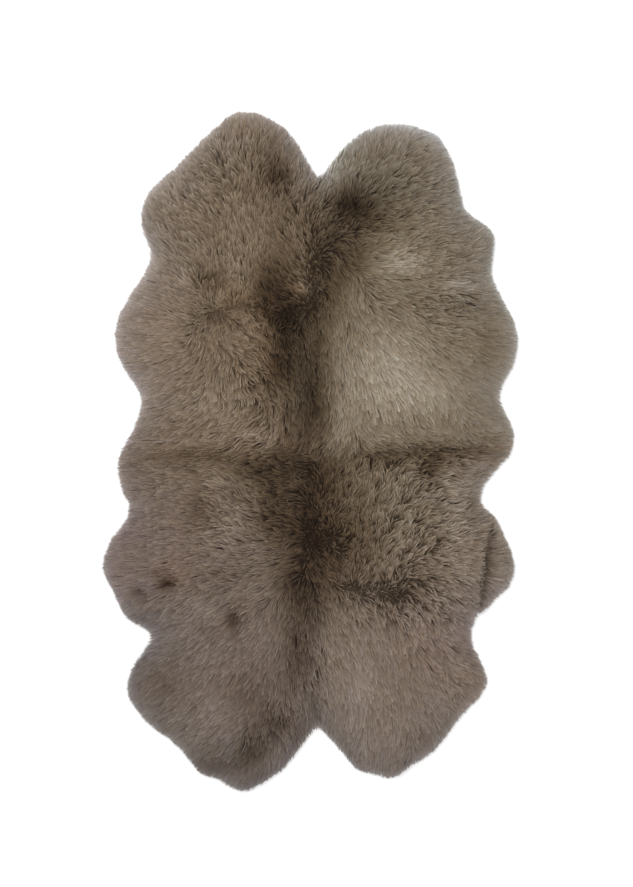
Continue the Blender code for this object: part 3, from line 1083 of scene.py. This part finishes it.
@dataclass(frozen=True)
class SuedeFinish:
    """Tanned suede, the skin side: pale tan with a soft nap, mottled and finely grained."""

    name: str = "suede_hide"
    colour: str = "c3ab8b"
    shadow_colour: str = "9c8262"
    roughness: float = 0.93
    mottle_size: float = 60 * MM
    grain_size: float = 0.8 * MM
    grain_height: float = 0.12 * MM

    def material(self) -> bpy.types.Material:
        """Builds the suede's material.

        Returns:
            The material.
        """
        graph = ShaderGraph(self.name)
        place = graph.add("ShaderNodeTexCoord")
        mottle = graph.add(
            "ShaderNodeTexNoise",
            {"Vector": place.outputs["Object"], "Scale": 1 / self.mottle_size, "Detail": 6.0},
        )
        ramp = graph.add("ShaderNodeValToRGB", {0: mottle.outputs[0]})
        stops = ramp.color_ramp.elements
        stops[0].position, stops[0].color = 0.34, linear(self.shadow_colour)
        stops[1].position, stops[1].color = 0.62, linear(self.colour)
        grain = graph.add(
            "ShaderNodeTexNoise",
            {"Vector": place.outputs["Object"], "Scale": 1 / self.grain_size, "Detail": 3.0},
        )
        bump = graph.add(
            "ShaderNodeBump", {"Height": grain.outputs[0], "Distance": self.grain_height, "Strength": 0.8}
        )
        graph.feed(
            graph.surface,
            {
                "Base Color": ramp.outputs[0],
                "Roughness": self.roughness,
                "Specular IOR Level": 0.2,
                "Sheen Weight": 0.3,
                "Sheen Roughness": 0.6,
                "Normal": bump.outputs[0],
            },
        )
        return graph.material


@dataclass
class PeltSlab:
    """A closed slab in the shape of a pelt, between an underside and a top, on a grid that follows its seams."""

    lay: Lay
    quarter: Quarter
    inset: float
    pitch: float
    seam_gap: float
    top: Callable[[np.ndarray], np.ndarray]
    bottom: float

    def build(self, name: str) -> bpy.types.Object:
        """Builds the slab, with its boundary drawn onto a line that runs inset from the rim.

        Args:
            name: the piece's name.

        Returns:
            The slab.
        """
        count_x = int(600 * MM / self.pitch)
        count_y = int(940 * MM / self.pitch)
        i, j = np.meshgrid(np.arange(count_x), np.arange(count_y), indexing="ij")
        into = np.stack([i.ravel(), j.ravel()], axis=1) * self.pitch + self.seam_gap / 2
        plan = self.lay.over_seams(into, self.quarter)
        number = (i * count_y + j)[:-1, :-1].ravel()
        cells = np.stack([number, number + count_y, number + count_y + 1, number + 1], axis=1)
        if self.quarter.side * self.quarter.end < 0:
            cells = cells[:, ::-1]
        inside = self.lay.edge.at(plan[cells].mean(axis=1)) > self.inset
        cells = cells[inside]

        edges = np.stack([cells, np.roll(cells, -1, axis=1)], axis=-1).reshape(-1, 2)
        known = set(map(tuple, edges.tolist()))
        border = np.array([e for e in edges.tolist() if (e[1], e[0]) not in known])
        loose = np.unique(border)
        loose = loose[(into[loose] > self.seam_gap).all(axis=1)]
        for _ in range(3):
            off = self.lay.edge.at(plan[loose]) - self.inset
            plan[loose] += self.lay.outward(plan[loose]) * off[:, None]

        used, where = np.unique(cells, return_inverse=True)
        cells = where.reshape(cells.shape)
        border = np.searchsorted(used, border)
        plan = plan[used]
        upper = np.column_stack([plan, self.top(plan)])
        lower = np.column_stack([plan, np.full(len(plan), self.bottom)])
        count = len(plan)
        walls = np.column_stack([border[:, ::-1], border + count])
        return new_piece(name, np.concatenate([upper, lower]), [cells, cells[:, ::-1] + count, walls], True)


@dataclass
class Fleece:
    """The dense wool close to a pelt's skin, which shows as a dark ground between the locks."""

    lay: Lay
    quarter: Quarter
    finish: WoolFinish
    sink: float = 5 * MM
    skin_top: float = 2.2 * MM
    tuft_reach: float = 9 * MM
    tuft_height: float = 2.5 * MM

    def _top(self, plan: np.ndarray) -> np.ndarray:
        """The height of the ground wool, a little under the locks and softly tufted."""
        tufts = self.tuft_height * SoftNoise(self.tuft_reach, 11).at(plan)
        return np.maximum(self.lay.height.at(plan) - self.sink + tufts, self.skin_top + 3 * MM)

    def build(self) -> bpy.types.Object:
        """Builds the fleece and hides the CAD pelt that it stands for.

        Returns:
            The fleece.
        """
        slab = PeltSlab(self.lay, self.quarter, 13 * MM, 10 * MM, 0.0, self._top, self.skin_top)
        piece = slab.build(f"fleece_{self.quarter.place}")
        places = np.array([vertex.co[:2] for vertex in piece.data.vertices])
        set_values(piece, "tone", self.lay.shade(places, self.lay.tone(places)))
        set_values(piece, "along", np.full(len(places), 0.42))
        set_values(piece, "across", places[:, 0] / self.finish.fibre_width)
        piece.data.materials.append(self.finish.material())
        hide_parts(self.quarter.node)
        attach(piece, "root")
        return piece


@dataclass
class Locks:
    """The locks of wool that lie over a pelt: ribbons that follow its lay in soft waves and taper to a point."""

    lay: Lay
    quarter: Quarter
    finish: WoolFinish
    pitch: float = 4.85 * MM
    jitter: float = 0.45
    length: float = 48 * MM
    length_spread: float = 0.3
    half_width: float = 1.9 * MM
    width_spread: float = 0.4
    roll: float = 20.0
    rim_roll: float = 45.0
    rim_roll_reach: float = 30 * MM
    root_depth: float = 6 * MM
    layers: float = 2.7 * MM
    top_layer: float = 1.4 * MM
    tone_spread: float = 0.052
    tuft_pitch: float = 17 * MM
    tuft_pull: float = 0.3
    tuft_turn: float = 11.0
    doubt_turn: float = 60.0
    swirl: float = 5.0
    swirl_reach: float = 62 * MM
    wander: float = 38.0
    wander_reach: float = 14 * MM
    fringe_pitch: float = 3.2 * MM
    fringe_rows: int = 3
    fringe_wave: float = 1.3 * MM
    fringe_bulge: float = 3.4 * MM
    stations: tuple[float, ...] = (0.0, 0.2, 0.4, 0.6, 0.8, 1.0)
    widths: tuple[float, ...] = (0.6, 1.0, 1.0, 0.9, 0.62)

    def build(self) -> bpy.types.Object:
        """Builds all of the pelt's locks as one mesh.

        Returns:
            The locks.
        """
        rng = np.random.default_rng(100 + list(Quarter).index(self.quarter))
        lines, depth = self._ground_locks(rng)
        rim_lines, rim_depth = self._fringe(rng)
        lines = np.concatenate([lines, rim_lines], axis=1)
        depth = np.concatenate([depth, rim_depth])
        piece = self._mesh(rng, lines, depth)
        piece.data.materials.append(self.finish.material())
        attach(piece, "root")
        triangles = len(piece.data.loops) - 2 * len(piece.data.polygons)
        LOG.info("%s: %d locks, %d triangles", piece.name, len(depth), triangles)
        return piece

    def heading(self, plan: np.ndarray) -> tuple[np.ndarray, np.ndarray]:
        """Finds how the wool lies.

        Args:
            plan: the points, one row of x and y each, in metres.

        Returns:
            For each point the direction in radians, and from 0 to 1 how unsettled it is.
        """
        total = np.zeros((len(plan), 2))
        weights = np.zeros(len(plan))
        for quarter in Quarter:
            share = self.lay.share_across(plan, self.quarter, quarter)
            for stroke in quarter.lay:
                away = np.linalg.norm(plan - np.array([stroke.x, stroke.y]) * MM, axis=1)
                weight = share / (away**2 + (24 * MM) ** 2) ** 1.7
                turn = math.radians(stroke.degrees)
                total += weight[:, None] * np.array([math.cos(turn), math.sin(turn)])
                weights += weight
        turn = np.arctan2(total[:, 1], total[:, 0])
        turn += np.radians(self.swirl) * SoftNoise(self.swirl_reach, 3).at(plan)
        wander = np.radians(self.wander) * self.lay.liveliness(plan)
        doubt = 1 - np.linalg.norm(total, axis=1) / weights
        return turn + wander * SoftNoise(self.wander_reach, 5).at(plan), np.clip(1.7 * doubt - 0.3, 0, 1)

    def _ground_locks(self, rng: np.random.Generator) -> tuple[np.ndarray, np.ndarray]:
        """Lays the locks all over the pelt.

        Args:
            rng: the source of the random draws.

        Returns:
            The locks' lines, and how deep their roots lie.
        """
        low, high = self.lay.rim.min(axis=0), self.lay.rim.max(axis=0)
        row_pitch = self.pitch * math.sqrt(3) / 2
        rows = np.arange(int((high[1] - low[1]) / row_pitch))
        columns = np.arange(int((high[0] - low[0]) / self.pitch))
        column, row = (a.ravel() for a in np.meshgrid(columns, rows))
        roots = low + np.column_stack([(column + row % 2 / 2) * self.pitch, row * row_pitch])
        roots += rng.uniform(-1, 1, roots.shape) * self.jitter * self.pitch
        keep = (self.lay.from_seams(roots, self.quarter) > 0).all(axis=1)
        keep &= self.lay.edge.at(roots) > 11 * MM
        roots = roots[keep]

        centres = self._tuft_centres(roots)
        doubt = self.heading(roots)[1]
        own_turn = np.radians(7) * rng.normal(size=len(roots))
        own_turn += np.radians(self.tuft_turn) * SoftNoise(3.1 * MM, 30).at(centres)
        own_turn *= self.lay.liveliness(roots)
        own_turn += np.radians(self.doubt_turn) * doubt * SoftNoise(19 * MM, 7).at(roots)
        own_turn += np.radians(self.doubt_turn) * doubt * 0.25 * rng.normal(size=len(roots))
        for whorl in WHORLS:
            away = np.linalg.norm(roots - np.array([whorl.x, whorl.y]) * MM, axis=1)
            share = np.exp(-((away / (whorl.reach * MM)) ** 2))
            own_turn += np.radians(whorl.turn) * share * SoftNoise(20 * MM, 9).at(roots)
        length = self.length * (1 + self.length_spread * rng.uniform(-1, 1, len(roots)))
        length *= (1 - 0.4 * doubt) * (1.2 - 0.35 * self.lay.liveliness(roots))
        line = [roots]
        for step in np.diff(self.stations):
            turn = self.heading(line[-1])[0] + own_turn
            way = np.column_stack([np.cos(turn), np.sin(turn)])
            line.append(line[-1] + way * (length * step)[:, None])
        lines = np.stack(line)
        lines += (centres - roots) * self.tuft_pull * np.array(self.stations)[:, None, None] ** 0.8

        lines = self._short_of_folds(lines, rng)
        cover = np.clip(self._cover(lines), 0, 1)
        lines = self._drawn_back(lines, 0.6 + 0.4 * cover)
        least = rng.normal(1.0, 2.4, len(roots)) * MM
        at_root, at_tip = self.lay.edge.at(lines[0]), self.lay.edge.at(lines[-1])
        share = (at_root - least) / np.maximum(at_root - at_tip, MM)
        lines = self._drawn_back(lines, np.where(at_tip < least, np.clip(share, 0.2, 1), 1))
        return lines, self.root_depth * np.clip(1.6 * cover - 0.5, 0.05, 1) * (1 - 0.9 * doubt)

    def _cover(self, lines: np.ndarray) -> np.ndarray:
        """Measures how thickly the locks lie over each lock's root.

        Args:
            lines: the locks' lines, by station, lock and coordinate.

        Returns:
            One value for each lock, where 1 is the pelt's mean.
        """
        cell = 8 * MM
        low = self.lay.rim.min(axis=0) - 60 * MM
        count = np.ceil((self.lay.rim.max(axis=0) + 60 * MM - low) / cell).astype(int)
        place = np.floor((lines[1:].reshape(-1, 2) - low) / cell).astype(int)
        number = place[:, 0] * count[1] + place[:, 1]
        covered = np.bincount(number, minlength=count[0] * count[1]).reshape(count) * 1.0
        covered = self.lay.softened(covered / np.median(covered[covered > 0]))
        return Chart(low + cell / 2, cell, covered).at(lines[0])

    def _short_of_folds(self, lines: np.ndarray, rng: np.random.Generator) -> np.ndarray:
        """Draws back the lines that would cross a fold, to end about there.

        Args:
            lines: the locks' lines, by station, lock and coordinate.
            rng: the source of the random draws.

        Returns:
            The lines.
        """
        start_x, start_y = lines[0].T
        way_x, way_y = (lines[-1] - lines[0]).T
        least = np.full(len(start_x), np.inf)
        for fold in FOLDS:
            corners = np.array(fold.points) * MM
            for (x, y), (edge_x, edge_y) in zip(corners[:-1], np.diff(corners, axis=0)):
                turn = way_x * edge_y - way_y * edge_x
                turn = np.where(turn > 0, turn, np.inf)
                along = ((x - start_x) * edge_y - (y - start_y) * edge_x) / turn
                aside = ((x - start_x) * way_y - (y - start_y) * way_x) / turn
                hits = (along > 0) & (along < 1) & (aside > 0) & (aside < 1)
                least = np.where(hits, np.minimum(least, along), least)
        share = np.clip(least + rng.normal(0, 0.08, len(least)), 0.25, 1)
        return self._drawn_back(lines, share)

    @staticmethod
    def _drawn_back(lines: np.ndarray, share: np.ndarray) -> np.ndarray:
        """The lines, each drawn back to its root to this share of its length."""
        return lines[0] + (lines - lines[0]) * share[:, None]

    def _tuft_centres(self, plan: np.ndarray) -> np.ndarray:
        """Finds the nearest of the tufts' centres, which lie on a loose grid over the whole rug.

        Args:
            plan: the points, one row of x and y each, in metres.

        Returns:
            The nearest centre to each point.
        """
        cell = np.floor(plan / self.tuft_pitch)
        best = np.full(len(plan), np.inf)
        centres = np.zeros_like(plan)
        for shift in np.ndindex(3, 3):
            near = cell + np.array(shift) - 1
            loose_x = SoftNoise(1.0, 21).at(near * 1.0)
            loose_y = SoftNoise(1.0, 22).at(near * 1.0)
            centre = (near + 0.5 + 0.42 * np.column_stack([loose_x, loose_y])) * self.tuft_pitch
            away = np.linalg.norm(plan - centre, axis=1)
            closer = away < best
            best = np.where(closer, away, best)
            centres[closer] = centre[closer]
        return centres

    def _fringe(self, rng: np.random.Generator) -> tuple[np.ndarray, np.ndarray]:
        """Lays the locks that hang out of the pelt's rim, in rows one above another.

        Args:
            rng: the source of the random draws.

        Returns:
            The locks' lines, and how deep their roots lie.
        """
        start, end = self.lay.rim, np.roll(self.lay.rim, -1, axis=0)
        length = np.linalg.norm(end - start, axis=1)
        along = np.concatenate([[0], np.cumsum(length)])
        count = int(along[-1] / self.fringe_pitch)
        share = np.array(self.stations)[:, None, None]
        lines, depths = [], []
        for row in range(self.fringe_rows):
            at = (np.arange(count) + rng.uniform(0, 1, count)) * self.fringe_pitch
            piece = np.clip(np.searchsorted(along, at) - 1, 0, len(start) - 1)
            within = (at - along[piece]) / length[piece]
            edge = start[piece] + (end - start)[piece] * within[:, None]
            outward = self.lay.outward(edge)
            aside = np.column_stack([-outward[:, 1], outward[:, 0]])
            lean = 17 * MM * (rng.normal(0, 0.22, count) + 0.35 * SoftNoise(30 * MM, 40 + row).at(edge))
            reach = (rng.normal(-0.8, 1.3, count) - 1.2 * row) * MM
            # Round tufts with sharp bays between them.
            reach += self.fringe_bulge * (2 * np.abs(SoftNoise(15 * MM, 50).at(edge)) - 0.7)
            root = edge - outward * (17 + 5 * row) * MM
            tip = edge + outward * reach[:, None] + aside * lean[:, None]
            wave = self.fringe_wave * np.sin(rng.uniform(0, 6, count) + 5 * share[..., 0])
            lines.append(root + (tip - root) * share + aside * (wave * share[..., 0])[..., None])
            depths.append(self.lay.height.at(root) * (0.8 - 0.28 * row))
        fringe, depth = np.concatenate(lines, axis=1), np.concatenate(depths)
        mine = (self.lay.from_seams(fringe[0], self.quarter) > 0).all(axis=1)
        return fringe[:, mine], depth[mine]

    def _mesh(self, rng: np.random.Generator, lines: np.ndarray, depth: np.ndarray) -> bpy.types.Object:
        """Builds the mesh of the locks, with what the material reads at each vertex.

        Args:
            rng: the source of the random draws.
            lines: the locks' lines, by station, lock and coordinate.
            depth: how deep each lock's root lies, in metres.

        Returns:
            The mesh's object.
        """
        count = len(depth)
        reach = np.linalg.norm(lines[-1] - lines[0], axis=1)
        size = np.clip(reach / (0.75 * self.length), 0.55, 1)
        lively = self.lay.liveliness(lines[2])
        size *= (1 + self.width_spread * rng.uniform(-1, 1, count)) * (0.86 + 0.14 * lively)
        # The rim's locks are rolled more, to give its steep side a body when it is seen edge on.
        steep = np.exp(-((np.maximum(self.lay.edge.at(lines[2]), 0) / self.rim_roll_reach) ** 2))
        roll = np.radians(self.roll * lively + self.rim_roll * steep) * rng.uniform(-1, 1, count)
        layer = 0.5 + 0.5 * rng.uniform(-1, 1, count) * lively
        stray = np.where(rng.random(count) < 0.05, rng.uniform(1, 4, count) * MM, 0)
        centres = self._tuft_centres(lines[0])
        # Painted shade: locks that lie lower, under others, are painted darker and those on top lighter; tufts
        # and single locks also vary at random.
        change = 0.06 * SoftNoise(3.1 * MM, 31).at(centres) + 0.12 * (layer - 0.5)
        change = change * lively + self.tone_spread * rng.normal(size=count)
        tone = self.lay.tone(lines[2]) * (1 + change)
        warmth = 0.03 * rng.normal(size=count)[:, None] * np.array([0.6, 0, -1]) + 1
        colour = self.lay.shade(lines[2], tone) * warmth
        # Dark wool shows more of its roots, and so does tousled wool.
        contrast = (0.6 + 0.68 * lively) * (1 + 1.15 * np.maximum(1 - self.lay.tone(lines[2]), 0))
        seed = rng.uniform(0, 900, count)

        places, alongs, acrosses, tones = [], [], [], []
        last = len(self.stations) - 1
        for station, share in enumerate(self.stations):
            line = lines[station]
            run = lines[min(station + 1, last)] - lines[max(station - 1, 0)]
            way = run / np.maximum(np.linalg.norm(run, axis=1), 0.1 * MM)[:, None]
            side = np.column_stack([-way[:, 1], way[:, 0]])
            ground = np.maximum(self.lay.height.at(line), self.lay.rim_height)
            sunk = depth * (1 - share / 0.4) ** 2 if share < 0.4 else 0
            height = ground + self.top_layer - self.layers * (1 - layer) - sunk + stray * share
            height = height - 1.5 * MM * (station == last)
            for edge in (0.0,) if station == last else (-1.0, 1.0):
                width = edge * self.half_width * size * (1 if station == last else self.widths[station])
                z = np.maximum(height + width * np.sin(roll), 0.8 * MM)
                places.append(np.column_stack([line + side * (width * np.cos(roll))[:, None], z]))
                alongs.append(MEAN_SHOWN + (share - MEAN_SHOWN) * contrast)
                acrosses.append(seed + width / self.finish.fibre_width)
                tones.append(colour)
        first = np.arange(count)
        quads = [
            np.stack([(2 * station + k) * count + first for k in (0, 1, 3, 2)], axis=1)
            for station in range(last - 1)
        ]
        ends = np.stack([(2 * last - 2 + k) * count + first for k in (0, 1, 2)], axis=1)
        faces = [np.concatenate(quads)[:, ::-1], ends[:, ::-1]]
        piece = new_piece(f"locks_{self.quarter.place}", np.concatenate(places), faces, True)
        set_values(piece, "along", np.concatenate(alongs))
        set_values(piece, "across", np.concatenate(acrosses))
        set_values(piece, "tone", np.concatenate(tones))
        self._lay_out(piece, count)
        return piece

    def _lay_out(self, piece: bpy.types.Object, count: int) -> None:
        """Gives every lock its own square of the bake map.

        Args:
            piece: the locks.
            count: how many locks there are.
        """
        squares = math.ceil(math.sqrt(count))
        vertex = np.arange(len(piece.data.vertices))
        lock, corner = vertex % count, vertex // count
        ends = corner == 2 * len(self.stations) - 2
        across = np.where(ends, 0.5, np.where(corner % 2 == 0, 0.08, 0.92))
        along = np.array(self.stations)[corner // 2]
        places = np.stack([lock % squares + 0.04 + 0.92 * across, lock // squares + 0.06 + 0.88 * along])
        corners = np.empty(len(piece.data.loops), dtype=np.int32)
        piece.data.loops.foreach_get("vertex_index", corners)
        layer = piece.data.uv_layers.new(name="OFBake")
        layer.data.foreach_set("uv", (places.T[corners] / squares).astype(np.float32).ravel())


@dataclass
class Hide:
    """A pelt's tanned skin, suede side down on the floor."""

    lay: Lay
    quarter: Quarter
    finish: SuedeFinish
    inset: float = 22 * MM
    thickness: float = 2 * MM

    def build(self, grown: list[bpy.types.Object]) -> bpy.types.Object:
        """Args:
            grown: the wool's pieces; not used.

        Returns:
            The skin.
        """
        slab = PeltSlab(self.lay, self.quarter, self.inset, 14 * MM, 0.6 * MM, self._top, 0.0)
        piece = slab.build(f"hide_{self.quarter.place}")
        piece.data.materials.append(self.finish.material())
        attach(piece, "root")
        return piece

    def _top(self, plan: np.ndarray) -> np.ndarray:
        """The skin's upper face."""
        return np.full(len(plan), self.thickness)


@dataclass
class Studio:
    """A pale floor, soft light from above, and a camera that looks straight down."""

    view_height: float = 2.348
    centre_x: float = 16 * MM
    centre_y: float = 21 * MM
    lens: float = 85.0
    sensor: float = 36.0
    floor_colour: str = "fcfcfc"

    def build(self) -> None:
        """Builds the floor, the lights and the camera."""
        bpy.ops.mesh.primitive_plane_add(size=12, location=(0, 0, 0))
        floor = bpy.context.object
        floor.name = "floor"
        graph = ShaderGraph("studio_floor")
        graph.feed(graph.surface, {"Base Color": linear(self.floor_colour), "Roughness": 0.9})
        floor.data.materials.append(graph.material)
        self._light("key", (-1.6, 2.2, 3.2), 2.4, 95)
        self._light("fill", (2.2, -1.6, 3.4), 3.0, 40)
        world = bpy.data.worlds.new("studio_world")
        world.use_nodes = True
        world.node_tree.nodes["Background"].inputs["Color"].default_value = (1, 1, 1, 1)
        world.node_tree.nodes["Background"].inputs["Strength"].default_value = 0.9
        bpy.context.scene.world = world
        bpy.context.scene.view_settings.view_transform = "Standard"
        lens = bpy.data.cameras.new("camera")
        lens.lens = self.lens
        lens.sensor_width = self.sensor
        lens.clip_end = 50
        camera = bpy.data.objects.new("camera", lens)
        camera.location = (self.centre_x, self.centre_y, self.view_height * self.lens / self.sensor)
        bpy.context.scene.collection.objects.link(camera)
        bpy.context.scene.camera = camera

    @staticmethod
    def _light(name: str, place: tuple[float, float, float], size: float, power: float) -> None:
        """Adds a square softbox that faces the rug's middle.

        Args:
            name: its name.
            place: where it is, in metres.
            size: its side, in metres.
            power: its power, in watts.
        """
        light = bpy.data.lights.new(name, "AREA")
        light.size = size
        light.energy = power
        lamp = bpy.data.objects.new(name, light)
        lamp.location = place
        lamp.rotation_euler = (-Vector(place)).to_track_quat("-Z", "Y").to_euler()
        bpy.context.scene.collection.objects.link(lamp)


WOOL = {
    Quarter.UPPER_LEFT: WoolFinish("long_wool_upper_left", "2d231a", "5b4e3f", "7a6c5d"),
    Quarter.UPPER_RIGHT: WoolFinish("long_wool_upper_right", "2d231a", "5f5344", "7c7364"),
    Quarter.LOWER_LEFT: WoolFinish("long_wool_lower_left", "2d241b", "594c40", "776b5a"),
    Quarter.LOWER_RIGHT: WoolFinish("long_wool_lower_right", "2d241a", "605244", "7f7262"),
}


def main() -> None:
    """Builds the rug's four pelts and the studio round them."""
    logging.basicConfig(level=logging.INFO, format="%(message)s")
    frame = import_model()
    lay = Lay(frame["nodes"])
    suede = SuedeFinish()
    for quarter in Quarter:
        fleece = Fleece(lay, quarter, WOOL[quarter]).build()
        locks = Locks(lay, quarter, WOOL[quarter]).build()
        Hide(lay, quarter, suede).build([fleece, locks])
        LOG.info("%s is built", quarter.node)
    Studio().build()


if __name__ == "__main__":
    main()
